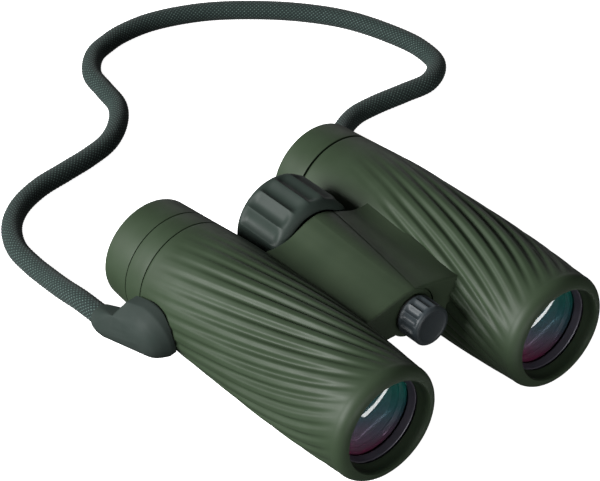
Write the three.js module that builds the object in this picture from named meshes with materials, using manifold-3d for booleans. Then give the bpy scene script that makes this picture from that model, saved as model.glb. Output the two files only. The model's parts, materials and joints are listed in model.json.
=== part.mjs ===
// Roof prism binoculars, lying on their barrels, as separate pieces in millimetres, +Z up.
// Y runs along the barrels, objectives towards -Y. X is across. The user's right barrel is on the -X side.
// Everything is built in the optical frame (x across, s behind the objective end, z above the barrel axes),
// and one group moves that frame so that the origin is under the middle, on the surface the object lies on.
import * as THREE from 'three';
import { ConvexGeometry } from 'three/addons/geometries/ConvexGeometry.js';
import { mergeVertices } from 'three/addons/utils/BufferGeometryUtils.js';
import Module from 'manifold-3d';

const wasm = await Module();
wasm.setup();

// ---- driving dimensions -------------------------------------------------------------------------
const GAP = 0.3;                  // clearance between touching pieces
const BARREL_SPACING = 72;        // between the two optical axes, as opened
const LENGTH = 121.35;            // objective lip to eyecup rim
const BARREL_RADIUS = 21.8;       // armour at its fattest, over the ribs
const HINGE_HEIGHT = 8.6;         // hinge axis above the barrel axes
const LIP_RADIUS = 16;            // mouth of the lens hood
const OBJECTIVE_RADIUS = 15;      // objective glass
const BODY_BORE = 17.3;           // inside the barrel body
const BRIDGE_FRONT = 30.6;        // front face of the bridge
const BRIDGE_REAR = 77.6;         // rear edge of the bridge
const WHEEL_FRONT = 78.6;
const WHEEL_REAR = 101.4;
const WHEEL_RADIUS = 16.7;
const ROPE_RADIUS = 3.8;

const FINE = 36;                  // facets around the armour
const MEDIUM = 28;                // facets around the large inner pieces
const COARSE = 20;                // facets around the small ones

const HALF_SPACING = BARREL_SPACING / 2;
const SIDES = { right: -1, left: 1 };

// ---- colours and finishes -----------------------------------------------------------------------
const finish = (color, roughness, metalness = 0, more = {}) =>
  new THREE.MeshStandardMaterial({ color, roughness, metalness, ...more });
const MATERIALS = {
  armour: finish(0x4b5a44, 0.75),
  bridge: finish(0x3d4c37, 0.6),
  grip: finish(0x49524d, 0.7),
  clip: finish(0x4c5551, 0.65),
  dark: finish(0x22262a, 0.55),
  alloy: finish(0x8f9499, 0.4, 0.9),
  brass: finish(0xb08d57, 0.35, 1),
  black: finish(0x141517, 0.6),
  seal: finish(0x101010, 0.9),
  glass: finish(0x27433f, 0.05, 0, { transparent: true, opacity: 0.35 }),
  rope: finish(0x2c3a39, 0.9),
};

// ---- geometry helpers ---------------------------------------------------------------------------
// The same geometry with its faces pointing outwards and only its shared vertices left.
function closed(geometry) {
  const bare = geometry.index ? geometry : mergeVertices(geometry);
  for (const name of ['normal', 'uv']) bare.deleteAttribute(name);
  const merged = mergeVertices(bare, 1e-4);
  const p = merged.attributes.position;
  const index = [];
  const old = merged.index.array;
  for (let i = 0; i < old.length; i += 3) {
    const [a, b, c] = [old[i], old[i + 1], old[i + 2]];
    if (a !== b && b !== c && a !== c) index.push(a, b, c);
  }
  let volume = 0;
  const [A, B, C] = [new THREE.Vector3(), new THREE.Vector3(), new THREE.Vector3()];
  for (let i = 0; i < index.length; i += 3) {
    A.fromBufferAttribute(p, index[i]);
    B.fromBufferAttribute(p, index[i + 1]);
    C.fromBufferAttribute(p, index[i + 2]);
    volume += A.dot(B.cross(C));
  }
  if (volume < 0) index.reverse();
  merged.setIndex(index);
  return merged;
}

// A piece turned about the barrel direction from a list of [radius, s] corners.
function turned(profile, segments = COARSE) {
  return closed(new THREE.LatheGeometry(profile.map(([r, s]) => new THREE.Vector2(r, s)), segments));
}

function ring(inner, outer, s0, s1, segments = COARSE) {
  return turned([[inner, s0], [outer, s0], [outer, s1], [inner, s1], [inner, s0]], segments);
}

function disc(radius, s0, s1, segments = COARSE) {
  return turned([[0, s0], [radius, s0], [radius, s1], [0, s1]], segments);
}

function block([x0, x1], [s0, s1], [z0, z1]) {
  const box = new THREE.BoxGeometry(x1 - x0, s1 - s0, z1 - z0);
  return closed(box.translate((x0 + x1) / 2, (s0 + s1) / 2, (z0 + z1) / 2));
}

// A glass with spherical faces: edge positions s0 and s1, and how far each face bulges out at the middle.
function lens(radius, s0, s1, frontBulge, rearBulge, segments = COARSE) {
  const steps = 2;
  const points = [];
  for (let i = 0; i <= steps; i += 1) {
    const k = i / steps;
    points.push([radius * k, s0 - frontBulge * (1 - k * k)]);
  }
  for (let i = steps; i >= 0; i -= 1) {
    const k = i / steps;
    points.push([radius * k, s1 + rearBulge * (1 - k * k)]);
  }
  return turned(points, segments);
}

// A solid whose cross-sections, closed outlines of [x, z], change along s.
function loft(sections) {
  const count = sections[0].outline.length;
  const flat = sections[0].outline.map(([x, z]) => new THREE.Vector2(x, z));
  const anticlockwise = THREE.ShapeUtils.area(flat) > 0;
  const positions = [];
  const index = [];
  for (const { s, outline } of sections) for (const [x, z] of outline) positions.push(x, s, z);
  for (let k = 0; k + 1 < sections.length; k += 1) {
    for (let i = 0; i < count; i += 1) {
      const ahead = k * count + ((i + 1) % count);
      const here = k * count + i;
      const [a, b] = anticlockwise ? [here, ahead] : [ahead, here];
      index.push(a, b + count, b, a, a + count, b + count);
    }
  }
  const last = (sections.length - 1) * count;
  for (const [i, j, k] of THREE.ShapeUtils.triangulateShape(flat, [])) {
    const [a, b, c] = THREE.ShapeUtils.area([flat[i], flat[j], flat[k]]) > 0 ? [i, j, k] : [i, k, j];
    index.push(a, b, c, last + a, last + c, last + b);
  }
  const geometry = new THREE.BufferGeometry();
  geometry.setAttribute('position', new THREE.Float32BufferAttribute(positions, 3));
  geometry.setIndex(index);
  return closed(geometry);
}

const solid = (geometry) => {
  const g = closed(geometry);
  return new wasm.Manifold(new wasm.Mesh({
    numProp: 3,
    vertProperties: Float32Array.from(g.attributes.position.array),
    triVerts: Uint32Array.from(g.index.array),
  }));
};

// One body made of the joined solids, less the cut ones.
function carve(joined, cuts = []) {
  let body = solid(joined[0]);
  for (const g of joined.slice(1)) body = body.add(solid(g));
  for (const g of cuts) body = body.subtract(solid(g));
  const mesh = body.getMesh();
  const geometry = new THREE.BufferGeometry();
  geometry.setAttribute('position', new THREE.Float32BufferAttribute(mesh.vertProperties, 3));
  geometry.setIndex(Array.from(mesh.triVerts));
  return geometry;
}

const sorted = (a, b) => [Math.min(a, b), Math.max(a, b)];
const onHinge = (geometry) => geometry.clone().translate(0, 0, HINGE_HEIGHT);
const onBarrel = (geometry, side) => geometry.clone().translate(side * HALF_SPACING, 0, 0);

// ---- the object's tree --------------------------------------------------------------------------
const binoculars = new THREE.Group();
binoculars.position.set(0, -LENGTH / 2, BARREL_RADIUS);
const barrels = {};
for (const [name, side] of Object.entries(SIDES)) {
  barrels[name] = new THREE.Group();
  barrels[name].position.x = side * HALF_SPACING;
  binoculars.add(barrels[name]);
}
const hinge = new THREE.Group();
hinge.position.z = HINGE_HEIGHT;
binoculars.add(hinge);

function place(parent, name, geometry, material) {
  const mesh = new THREE.Mesh(geometry, MATERIALS[material]);
  mesh.name = name;
  parent.add(mesh);
}

// ---- armour: the rubber sleeve over each barrel -------------------------------------------------
const ARMOUR_END = { right: 99.7, left: 107.9 };
const EYECUP_FRONT = 108.7;
const EYECUP_RADIUS = 18.5;
const SHOULDER_S = 85;            // the barrel narrows towards the eye from here
const SHOULDER_RADIUS = 21.3;
const BELLY_S = 42.5;
const FRONT_RADIUS = 20.2;
const FRONT_ROUNDING = 3.8;
const BODY_RADIUS = 18.9;
const BODY_FRONT = 5.1;
const BODY_REAR = 95.7;
const BODY_REAR_RADIUS = 17.9;

const COVER_WALL = 1.3;
const WING_WINDOW = { x: [12, 24], z: [3.4, 12.4] };   // opening for the hinge arms, x from the barrel axis

const armourRadius = (s) =>
  SHOULDER_RADIUS + (EYECUP_RADIUS - SHOULDER_RADIUS) * (s - SHOULDER_S) / (LENGTH - SHOULDER_S);

function armourOutline(end) {
  const points = [[LIP_RADIUS + 0.4, 0]];
  for (let i = 1; i <= 3; i += 1) {
    const turn = (i / 3) * (Math.PI / 2);
    const inward = FRONT_ROUNDING * (1 - Math.sin(turn));
    points.push([FRONT_RADIUS - inward, FRONT_ROUNDING * (1 - Math.cos(turn))]);
  }
  points.push([21.3, 22], [BARREL_RADIUS, BELLY_S], [21.65, 64], [SHOULDER_RADIUS, SHOULDER_S]);
  points.push([armourRadius(end), end]);
  return points;
}

function armour(side, end) {
  const inside = [
    [BODY_REAR_RADIUS + GAP, end], [BODY_REAR_RADIUS + GAP, BODY_REAR - 2], [BODY_RADIUS + GAP, 84],
    [BODY_RADIUS + GAP, BODY_FRONT - GAP], [15.2, BODY_FRONT - GAP], [LIP_RADIUS, 2.6], [LIP_RADIUS + 0.4, 0],
  ];
  const sleeve = turned([...armourOutline(end), ...inside], FINE);
  const wheelRelief = disc(WHEEL_RADIUS + 0.7, WHEEL_FRONT - 1.4, WHEEL_REAR + 1, FINE)
    .translate(-side * HALF_SPACING, 0, HINGE_HEIGHT);
  const window = block(
    sorted(-side * WING_WINDOW.x[0], -side * WING_WINDOW.x[1]),
    [BRIDGE_FRONT + COVER_WALL, BRIDGE_REAR - COVER_WALL - 0.9], WING_WINDOW.z);
  const postHole = onLug(side, disc(POST_RADIUS + 0.5, 16, 24));
  return carve([sleeve], [wheelRelief, window, postHole]);
}

// Everything inside the armour's outline, with clearance.
function armourRoom() {
  const skin = armourOutline(ARMOUR_END.left).slice(1).map(([r, s]) => [r + GAP, s]);
  return turned([[0, 0], ...skin, [0, ARMOUR_END.left]], FINE);
}

// ---- strap lug and clip -------------------------------------------------------------------------
const LUG_S = 90;
const LUG_DROP = THREE.MathUtils.degToRad(13);   // the lug points outwards and this far below level
const LUG_TOP = 22;               // top of the lug's flange, from the barrel axis
const POST_RADIUS = 2.9;
const POST_TOP = 26.5;
const SLEEVE_END = 116;
const SLEEVE_RADIUS = 5.1;
const SLEEVE_X = 25.2;            // rope sleeve, from the barrel axis
const SLEEVE_Z = -12.3;

// A piece turned from [radius, distance] corners and stood on the lug, with distances from the barrel axis.
function onLug(side, piece) {
  const outward = new THREE.Vector3(side * Math.cos(LUG_DROP), 0, -Math.sin(LUG_DROP));
  const turn = new THREE.Quaternion().setFromUnitVectors(new THREE.Vector3(0, 1, 0), outward);
  return piece.clone().applyQuaternion(turn).translate(0, LUG_S, 0);
}

function strapLug(side) {
  const flange = onLug(side, turned([[0, 18.4], [10, 18.4], [9.6, LUG_TOP], [0, LUG_TOP]]));
  const post = onLug(side, disc(POST_RADIUS, 19.4, POST_TOP));
  const base = carve([flange], [armourRoom()]);
  return carve([base, post], [disc(BODY_RADIUS + GAP, LUG_S - 20, LUG_S + 20, MEDIUM)]);
}

function strapClip(side) {
  const dome = onLug(side, turned([
    [0, LUG_TOP + GAP], [9.8, LUG_TOP + GAP], [10, 23], [9.1, 25], [8.4, 26.3], [7.4, 27.6], [5.6, 29.2],
    [3.4, 30.1], [0, 30.5]]));
  const sleeve = turned([
    [0, 100], [3.6, 100], [SLEEVE_RADIUS, 103], [SLEEVE_RADIUS, SLEEVE_END - 0.8], [4.7, SLEEVE_END],
    [0, SLEEVE_END]]).translate(side * SLEEVE_X, 0, SLEEVE_Z);
  const lowered = -4.3;
  const belly = onLug(side, new THREE.SphereGeometry(5.5, 10, 6).translate(0, 24.5, 0))
    .translate(side * Math.sin(LUG_DROP) * lowered, 1, Math.cos(LUG_DROP) * lowered);
  const heel = disc(SLEEVE_RADIUS, 104, 112, 12).translate(side * SLEEVE_X, 0, SLEEVE_Z);
  const hull = [];
  for (const { attributes: { position } } of [belly, heel]) {
    for (let i = 0; i < position.count; i += 1) hull.push(new THREE.Vector3().fromBufferAttribute(position, i));
  }
  const shoulder = closed(new ConvexGeometry(hull));
  const bore = disc(ROPE_RADIUS + GAP, 106, SLEEVE_END + 2).translate(side * SLEEVE_X, 0, SLEEVE_Z);
  const socket = onLug(side, disc(POST_RADIUS + GAP, LUG_TOP - 0.2, POST_TOP + GAP));
  const lugRoom = onLug(side, disc(16, 14, LUG_TOP + GAP));
  return carve([dome, sleeve, shoulder], [bore, socket, lugRoom]);
}

// ---- barrel body: bored tube with its two hinge arms --------------------------------------------
const SHAFT_RADIUS = 3;
const SHAFT_HEAD_RADIUS = 4.7;
const KNUCKLE_RADIUS = 6.5;
const KNUCKLES = {
  left: [{ s0: 32.3, s1: 36.4, bore: 5.8 }, { s0: 70.3, s1: 75, bore: 5 }],
  right: [{ s0: 36.8, s1: 42, bore: SHAFT_HEAD_RADIUS + GAP }, { s0: 65, s1: 69.9, bore: SHAFT_RADIUS + GAP }],
};
const ARM_BAR_Z = [4.6, 10.8];     // height of the hinge arms, above the barrel axes
const FOCUS_TRAVEL = 3;
const ARM_Z = [3.9, 6.3];         // height of both focus arms, above the barrel axes
const FOCUS_ARM_S = { left: [52.3, 55.7], right: [56.7, 58.9] };

function barrelBody(name, side) {
  const towards = -side;
  const bar = (s0, s1) => {
    return block(sorted(towards * 14, towards * (HALF_SPACING - 4)), [s0, s1], ARM_BAR_Z);
  };
  const shell = turned([
    [0, BODY_FRONT], [BODY_RADIUS, BODY_FRONT], [BODY_RADIUS, 84], [BODY_REAR_RADIUS, BODY_REAR - 2],
    [BODY_REAR_RADIUS, BODY_REAR], [0, BODY_REAR]], MEDIUM);
  const joined = [shell];
  const cuts = [disc(BODY_BORE, 0, LENGTH, MEDIUM)];
  for (const { s0, s1, bore } of KNUCKLES[name]) {
    joined.push(bar(s0, s1));
    joined.push(onHinge(disc(KNUCKLE_RADIUS, s0, s1, MEDIUM)).translate(towards * HALF_SPACING, 0, 0));
    cuts.push(onHinge(disc(bore, s0 - 1, s1 + 1, MEDIUM)).translate(towards * HALF_SPACING, 0, 0));
  }
  const [a0, a1] = FOCUS_ARM_S[name];
  const play = FOCUS_TRAVEL + 0.5;
  const armSlotZ = [ARM_Z[0] - 0.4, ARM_Z[1] + 0.4];
  cuts.push(block(sorted(towards * 12, towards * 20), [a0 - play, a1 + play], armSlotZ));
  return carve(joined, cuts);
}

// ---- bridge covers: the visible saddle over the hinge arms --------------------------------------
// The ridge is a cone about the hinge axis; flat wings run from it to each barrel.
const RIDGE = { front: 8.2, rear: 12.8 };
const WING_TOP = { front: 14, rear: 16.5 };
const WING_BOTTOM = 2.3;
const OPEN_FROM = 34;             // degrees: the ridge is open below this on the left barrel's side

const WING_END = 26;              // how far out the wings run before the armour's room is cut away
const RIDGE_PLAY = 0.4;           // between the ridge and the left cover's edge

const between = (pair, s) =>
  pair.front + (pair.rear - pair.front) * (s - BRIDGE_FRONT) / (BRIDGE_REAR - BRIDGE_FRONT);
const arc = (radius, from, to, steps) => Array.from({ length: steps + 1 }, (_, i) => {
  const a = THREE.MathUtils.degToRad(from + (to - from) * (i / steps));
  return [radius * Math.cos(a), HINGE_HEIGHT + radius * Math.sin(a)];
});
const angleAt = (radius, z) => THREE.MathUtils.radToDeg(Math.asin((z - HINGE_HEIGHT) / radius));

function rightOutline(s, inset) {
  const radius = between(RIDGE, s) - inset;
  const top = between(WING_TOP, s) - inset;
  const bottom = WING_BOTTOM + inset;
  const meet = angleAt(radius, Math.min(top, HINGE_HEIGHT + radius * 0.95));
  const under = angleAt(radius, Math.max(bottom, HINGE_HEIGHT - radius * 0.95));
  return [[-WING_END, bottom], ...arc(radius, -180 - under, 180 - meet, 20), [-WING_END, top]];
}

function leftOutline(s, inset) {
  const radius = between(RIDGE, s) + RIDGE_PLAY;
  const top = between(WING_TOP, s) - inset;
  const bottom = WING_BOTTOM + inset;
  const inner = arc(radius, angleAt(radius, top), angleAt(radius, bottom), 8);
  return [[WING_END, top], ...inner, [WING_END, bottom]];
}

const INNER_ENDS = [BRIDGE_FRONT + COVER_WALL, BRIDGE_REAR - COVER_WALL];
const coverShell = (outline) => loft([BRIDGE_FRONT, BRIDGE_REAR].map((s) => ({ s, outline: outline(s, 0) })));

function rightCover() {
  const hollow = loft(INNER_ENDS.map((s) => ({ s, outline: rightOutline(s, COVER_WALL) })));
  const open = THREE.MathUtils.degToRad(OPEN_FROM);
  const far = 30;
  const outline = [[0, 0], [far * Math.cos(open), far * Math.sin(open)], [far, -far], [0, -far]]
    .map(([x, z]) => [x, z + HINGE_HEIGHT]);
  const wedge = loft(INNER_ENDS.map((s) => ({ s, outline })));
  const headHole = onHinge(disc(SHAFT_HEAD_RADIUS + GAP, BRIDGE_FRONT - 1, 34));
  const shaftHole = onHinge(disc(SHAFT_RADIUS + GAP, 74, BRIDGE_REAR + 1));
  const barrelRoom = onBarrel(armourRoom(), SIDES.right);
  return carve([coverShell(rightOutline)], [hollow, barrelRoom, wedge, headHole, shaftHole]);
}

function leftCover() {
  const hollow = loft(INNER_ENDS.map((s) => {
    const [low, high] = [WING_BOTTOM + COVER_WALL, between(WING_TOP, s) - COVER_WALL];
    return { s, outline: [[0, low], [30, low], [30, high], [0, high]] };
  }));
  return carve([coverShell(leftOutline)], [hollow, onBarrel(armourRoom(), SIDES.left)]);
}

for (const [name, side] of Object.entries(SIDES)) {
  place(barrels[name], `${name}_barrel_body`, barrelBody(name, side), 'alloy');
  place(barrels[name], `${name}_armour`, armour(side, ARMOUR_END[name]), 'armour');
  place(barrels[name], `${name}_strap_lug`, strapLug(side), 'dark');
  place(barrels[name], `${name}_strap_clip`, strapClip(side), 'clip');
}
place(binoculars, 'right_bridge_cover', rightCover(), 'bridge');
place(binoculars, 'left_bridge_cover', leftCover(), 'bridge');

// ---- objective ----------------------------------------------------------------------------------
for (const name of Object.keys(SIDES)) {
  const barrel = barrels[name];
  place(barrel, `${name}_retaining_ring`, turned([
    [14.4, 6.6], [14.8, 5.4], [17, 5.4], [17, 8], [14.4, 8], [14.4, 6.6]]), 'black');
  const seal = new THREE.TorusGeometry(15.9, 0.5, 5, 20).rotateX(Math.PI / 2).translate(0, 8.9, 0);
  place(barrel, `${name}_sealing_ring`, closed(seal), 'seal');
  place(barrel, `${name}_objective_cell`, turned([
    [15.3, 9.8], [17, 9.8], [17, 22], [13.6, 22], [13.6, 17.2], [15.3, 17.2], [15.3, 9.8]]), 'black');
  place(barrel, `${name}_objective_crown`, lens(OBJECTIVE_RADIUS, 10.2, 12.7, 2, 1.5), 'glass');
  place(barrel, `${name}_objective_flint`, lens(OBJECTIVE_RADIUS, 13, 16.8, -1.5, 0.2), 'glass');
}

// ---- focus lens groups --------------------------------------------------------------------------
const FOCUS_CELL_S = [50, 61];
for (const name of Object.keys(SIDES)) {
  const [g0, g1] = [FOCUS_ARM_S[name][0] - GAP, FOCUS_ARM_S[name][1] + GAP];
  place(barrels[name], `${name}_focus_cell`, turned([
    [11.8, FOCUS_CELL_S[0] + 1], [11, FOCUS_CELL_S[0] + 1], [11, FOCUS_CELL_S[0]], [16.9, FOCUS_CELL_S[0]],
    [16.9, g0], [15.4, g0], [15.4, g1], [16.9, g1], [16.9, FOCUS_CELL_S[1]], [11.8, FOCUS_CELL_S[1]],
    [11.8, FOCUS_CELL_S[0] + 1]]), 'alloy');
  place(barrels[name], `${name}_focus_lens`, lens(11.5, 51.6, 55.2, -0.8, 0.6), 'glass');
}

// ---- prisms -------------------------------------------------------------------------------------
const PRISM_S = 68.5;             // entrance face
const PRISM_HALF = 7.2;
const PRISM_CAGE_S = [66, 91];

function prismSolid(points, roof) {
  const corners = [];
  for (const [s, z, half] of points) {
    for (const x of half === 0 ? [0] : [-half, half]) corners.push(new THREE.Vector3(x, PRISM_S + s, z));
  }
  for (const [s, z] of roof) corners.push(new THREE.Vector3(0, PRISM_S + s, z));
  return closed(new ConvexGeometry(corners));
}

for (const name of Object.keys(SIDES)) {
  const barrel = barrels[name];
  place(barrel, `${name}_half_penta_prism`, prismSolid(
    [[0, 7.2, PRISM_HALF], [0, -7.2, PRISM_HALF], [14.4, -13.2, PRISM_HALF], [14.4, -7.2, PRISM_HALF]],
    []), 'glass');
  place(barrel, `${name}_roof_prism`, prismSolid(
    [[17.2, -9.4, PRISM_HALF], [1.1, 6.7, PRISM_HALF], [17.2, 11.2, PRISM_HALF]],
    [[0.9, 9.2], [16.6, 15.6]]), 'glass');
  place(barrel, `${name}_prism_cage`, carve(
    [disc(BODY_BORE - GAP, PRISM_CAGE_S[0], PRISM_CAGE_S[1] - 1)],
    [block([-7.6, 7.6], [68, 86.6], [-20, 20]), disc(7, 60, 95)]), 'black');
}

// ---- eyepieces and eyecups ----------------------------------------------------------------------
for (const name of Object.keys(SIDES)) {
  const barrel = barrels[name];
  place(barrel, `${name}_eyepiece_housing`, turned([
    [13, 92], [15.6, 92], [15.6, 96], [17.6, 96], [17.6, 108], [17.2, 108], [17.2, 99], [15.6, 99],
    [15.6, 117.2], [11.6, 117.2], [11.6, 116.2], [13, 116.2], [13, 92]]), 'black');
  place(barrel, `${name}_field_lens`, lens(12.7, 93.4, 96.4, 0.6, 1.6), 'glass');
  place(barrel, `${name}_eye_lens`, lens(12.7, 110.4, 114.4, 1.8, 1), 'glass');
  place(barrel, `${name}_eyecup_click_ring`, ring(15.9, 16.9, 99.4, 101), 'brass');
  place(barrel, `${name}_eyecup_sleeve`, ring(15.9, 16.9, 101.3, 120), 'black');
  place(barrel, `${name}_eyecup`, turned([
    [17.2, EYECUP_FRONT], [armourRadius(EYECUP_FRONT), EYECUP_FRONT], [armourRadius(118.6), 118.6],
    [armourRadius(118.6) - 0.5, 120.4], [17.2, LENGTH], [14.8, LENGTH], [14.2, 120.9], [14.2, 120.3],
    [17.2, 120.3], [17.2, EYECUP_FRONT]], MEDIUM), 'armour');
}
const right = barrels.right;
place(right, 'diopter_ring', ring(17.9, armourRadius(104), 100, 108.4, MEDIUM), 'armour');
place(right, 'diopter_cell', ring(11.6, 12.7, 101, 106), 'alloy');
place(right, 'diopter_lens', lens(11.3, 102, 104.2, 0.4, -0.6), 'glass');

// ---- hinge shaft, bushes and tripod socket ------------------------------------------------------
const SHAFT_REAR = 82.4;
const SHAFT_BORE = 1.9;
const SHAFT_HEAD_REAR = 42.4;
const INSERT_RADIUS = 3.8;
const THREAD_HOLE = 3.2;
const shaft = turned([
  [INSERT_RADIUS + GAP, 31], [SHAFT_HEAD_RADIUS, 31], [SHAFT_HEAD_RADIUS, SHAFT_HEAD_REAR],
  [SHAFT_RADIUS, SHAFT_HEAD_REAR], [SHAFT_RADIUS, SHAFT_REAR], [SHAFT_BORE, SHAFT_REAR], [SHAFT_BORE, 41.4],
  [INSERT_RADIUS + GAP, 41.4], [INSERT_RADIUS + GAP, 31]]);
const PIN_S = 54;
const PIN_SLOT = FOCUS_TRAVEL + 1.2;
place(hinge, 'hinge_shaft', carve([shaft], [
  block([-5, 5], [PIN_S - PIN_SLOT, PIN_S + PIN_SLOT], [-1.1, 1.1])]), 'alloy');
place(hinge, 'front_hinge_bush', ring(5, 5.5, 32.4, 36.3), 'brass');
place(hinge, 'rear_hinge_bush', ring(3.3, 4.7, 70.4, 74.9), 'brass');
place(hinge, 'tripod_insert', ring(THREAD_HOLE, INSERT_RADIUS, 31, 41), 'brass');

const CAP_RADIUS = 7.1;
const CAP_FRONT = 20.9;
const CAP_REAR = 29.6;
place(hinge, 'tripod_cap', turned([
  [0, CAP_FRONT], [5.4, CAP_FRONT], [6.6, CAP_FRONT + 0.5], [CAP_RADIUS, CAP_FRONT + 1.7],
  [CAP_RADIUS, CAP_REAR], [2.8, CAP_REAR], [2.8, 39.5], [0, 39.5]]), 'grip');
place(hinge, 'tripod_cap_washer', ring(3.2, 6.6, CAP_REAR + 0.2, BRIDGE_FRONT - 0.2), 'seal');

// ---- focusing mechanism -------------------------------------------------------------------------
const rod = disc(1.6, 48, 88, 12);
const pin = closed(new THREE.CylinderGeometry(0.8, 0.8, 7.4, 8).rotateZ(Math.PI / 2).translate(0, PIN_S, 0));
place(hinge, 'focus_rod', carve([rod, pin]), 'alloy');

function focusArm(side, [s0, s1]) {
  const reach = HALF_SPACING - 15.9;
  return block(sorted(side * 4.6, side * reach), [s0, s1], ARM_Z.map((z) => z - HINGE_HEIGHT));
}
const yokeBody = turned([
  [3.3, 49.4], [5.6, 49.4], [5.6, 52], [4.2, 52], [4.2, 56], [5.6, 56], [5.6, 59.6], [3.3, 59.6],
  [3.3, 49.4]]);
const pinHole = closed(new THREE.CylinderGeometry(1.1, 1.1, 8, 8).rotateZ(Math.PI / 2).translate(0, PIN_S, 0));
place(hinge, 'focus_yoke', carve(
  [yokeBody, focusArm(-1, FOCUS_ARM_S.right)], [pinHole, disc(3.3, 40, 70)]), 'alloy');
place(hinge, 'left_focus_arm', carve(
  [ring(4.5, 5.6, FOCUS_ARM_S.left[0], FOCUS_ARM_S.left[1]), focusArm(1, FOCUS_ARM_S.left)],
  [disc(4.5, 40, 70)]), 'alloy');

place(hinge, 'focus_wheel_core', turned([
  [3.3, WHEEL_FRONT + 0.6], [13.6, WHEEL_FRONT + 0.6], [14.6, WHEEL_FRONT + 1.6], [14.6, 99.8], [11.3, 99.8],
  [11.3, 97], [1.9, 97], [1.9, 83], [3.3, 83], [3.3, WHEEL_FRONT + 0.6]]), 'black');
place(hinge, 'focus_wheel_grip', turned([
  [14.9, WHEEL_FRONT + 0.2], [15.6, WHEEL_FRONT], [16.4, WHEEL_FRONT + 0.8], [WHEEL_RADIUS, WHEEL_FRONT + 2.4],
  [WHEEL_RADIUS, 96.8], [16, 99.4], [14.4, 101], [12.6, WHEEL_REAR], [12, WHEEL_REAR], [12, 100.1],
  [14.9, 100.1], [14.9, WHEEL_FRONT + 0.2]], MEDIUM), 'grip');
place(hinge, 'focus_wheel_cap', turned([
  [0, 97.3], [11, 97.3], [11, 100.2], [10.4, 100.9], [0, 101.2]]), 'dark');

// ---- strap rope ---------------------------------------------------------------------------------
// Points [x, y, z] from the right clip to the left one, y from the middle of the barrels, z above the ground.
const LAY = ROPE_RADIUS + 0.05;
const ROPE_Y0 = SLEEVE_END + 0.4 - LENGTH / 2;
const SLEEVE_AT = HALF_SPACING + SLEEVE_X;
const SLEEVE_HEIGHT = BARREL_RADIUS + SLEEVE_Z;
const ROPE_ROUTE = [
  [-SLEEVE_AT, ROPE_Y0, SLEEVE_HEIGHT], [-61, 66.2, 8.9], [-60.5, 76.3, 7.2], [-59.2, 88.2, 5],
  [-58.5, 97.8, 4.1], [-56.8, 109.9, LAY], [-50.9, 121.4, LAY], [-42, 129.6, LAY], [-30, 135, LAY],
  [-16.2, 137.6, LAY], [-4.2, 139.8, LAY], [6.9, 143.4, LAY], [17.3, 151.3, LAY], [24.2, 160.9, LAY],
  [27.1, 173, LAY], [30.1, 185, LAY], [39.2, 195.8, LAY], [48.7, 200, LAY], [57.3, 202, LAY],
  [71.5, 201.8, LAY], [90.7, 195.3, LAY], [106.6, 184.5, LAY], [121.2, 170.1, LAY], [132, 153.5, LAY],
  [138.3, 132.7, LAY], [139.6, 119.5, LAY], [136.4, 106.8, LAY], [125.8, 99.4, LAY], [113, 99.4, LAY],
  [99.7, 100, LAY], [88, 98.8, 4.1], [75.5, 92, 5], [65.8, 80.5, 6.9], [61.8, 69, 8.7],
  [SLEEVE_AT, ROPE_Y0, SLEEVE_HEIGHT],
];
const routePoints = ROPE_ROUTE.map(([x, y, z]) => new THREE.Vector3(x, y, z));
const rope = new THREE.CatmullRomCurve3(routePoints, false, 'centripetal');
const ROPE_FACETS = 10;
const section = new THREE.Shape(Array.from({ length: ROPE_FACETS }, (_, i) => {
  const a = (i / ROPE_FACETS) * 2 * Math.PI;
  return new THREE.Vector2(ROPE_RADIUS * Math.cos(a), ROPE_RADIUS * Math.sin(a));
}));
const ropeSolid = new THREE.ExtrudeGeometry(section, { steps: 30, extrudePath: rope });
ropeSolid.translate(0, LENGTH / 2, -BARREL_RADIUS);
place(binoculars, 'strap_rope', closed(ropeSolid), 'rope');

export default binoculars;
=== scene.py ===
"""Roof prism binoculars with ribbed rubber armour and a braided strap rope: the looks around the frame.

Shapes are worked out in millimetres in the optical frame: x across, s along the barrels behind the objective
end, z above the barrel axes. to_row() takes them into the row frame, in metres.
"""

import json
import math

import bmesh
import bpy
import numpy as np
from mathutils import Matrix, Vector


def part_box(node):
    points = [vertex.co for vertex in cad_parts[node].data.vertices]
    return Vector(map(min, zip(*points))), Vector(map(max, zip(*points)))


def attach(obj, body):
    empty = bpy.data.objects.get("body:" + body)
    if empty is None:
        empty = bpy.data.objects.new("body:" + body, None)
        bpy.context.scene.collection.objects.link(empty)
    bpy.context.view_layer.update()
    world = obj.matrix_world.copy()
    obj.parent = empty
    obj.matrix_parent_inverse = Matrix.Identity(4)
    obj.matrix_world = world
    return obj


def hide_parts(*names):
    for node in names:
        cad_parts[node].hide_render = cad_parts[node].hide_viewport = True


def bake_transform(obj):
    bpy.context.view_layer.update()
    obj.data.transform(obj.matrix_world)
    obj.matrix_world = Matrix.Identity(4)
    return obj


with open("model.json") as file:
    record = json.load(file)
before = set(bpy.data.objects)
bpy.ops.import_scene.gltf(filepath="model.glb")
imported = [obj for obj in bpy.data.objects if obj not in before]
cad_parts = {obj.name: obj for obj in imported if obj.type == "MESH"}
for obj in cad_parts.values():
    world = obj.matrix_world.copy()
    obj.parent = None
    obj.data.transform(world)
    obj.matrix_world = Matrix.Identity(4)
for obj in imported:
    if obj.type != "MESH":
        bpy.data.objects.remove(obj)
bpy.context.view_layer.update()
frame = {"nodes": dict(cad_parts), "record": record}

# ---- driving dimensions, in millimetres --------------------------------------------------------------------
MM = 0.001
SIDES = {"right": -1, "left": 1}


def centre_of(node):
    """The middle of a CAD node's box, in millimetres in the row frame."""
    low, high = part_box(node)
    return (low + high) / 2 / MM


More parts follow.
